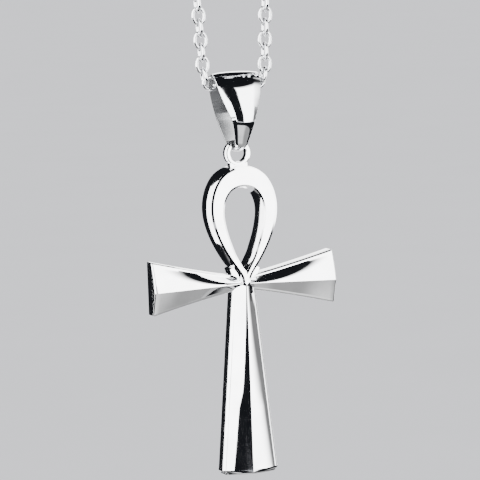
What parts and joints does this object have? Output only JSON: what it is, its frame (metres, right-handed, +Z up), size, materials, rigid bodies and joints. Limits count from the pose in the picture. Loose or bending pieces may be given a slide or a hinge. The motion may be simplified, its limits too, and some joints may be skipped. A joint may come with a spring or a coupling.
{
  "type": "ankh pendant necklace",
  "caption": "Polished ankh with a drop-shaped loop and flaring ridged arms and stem, hanging by its eye from a folded bail on a fine cable chain, worn round the neck.",
  "frame": {"origin": "The middle of the clasp at the top of the chain, where the necklace hangs.", "axes": "+Z is up, along the hanging necklace. The ankh's front faces -Y. X runs along its arms."},
  "size_m": [0.0332, 0.0078, 0.2682],
  "materials": {
    "chain_steel": "polished",
    "clasp_steel": "polished",
    "bail_steel": "polished",
    "ankh_steel": "high polish"
  },
  "bodies": {
    "chain": {"chain": "chain_steel", "clasp": "clasp_steel"},
    "bail": {"bail": "bail_steel"},
    "ankh": {"ankh": "ankh_steel"}
  },
  "joints": [
    {"name": "bail_swing", "type": "hinge", "parent": "chain", "child": "bail", "pos_m": [0, 0, -0.211], "axis": [1, 0, 0], "range_deg": [-90, 90]},
    {"name": "ankh_swing", "type": "hinge", "parent": "bail", "child": "ankh", "pos_m": [0, 0, -0.22071], "axis": [0, 1, 0], "range_deg": [-75, 75]}
  ]
}
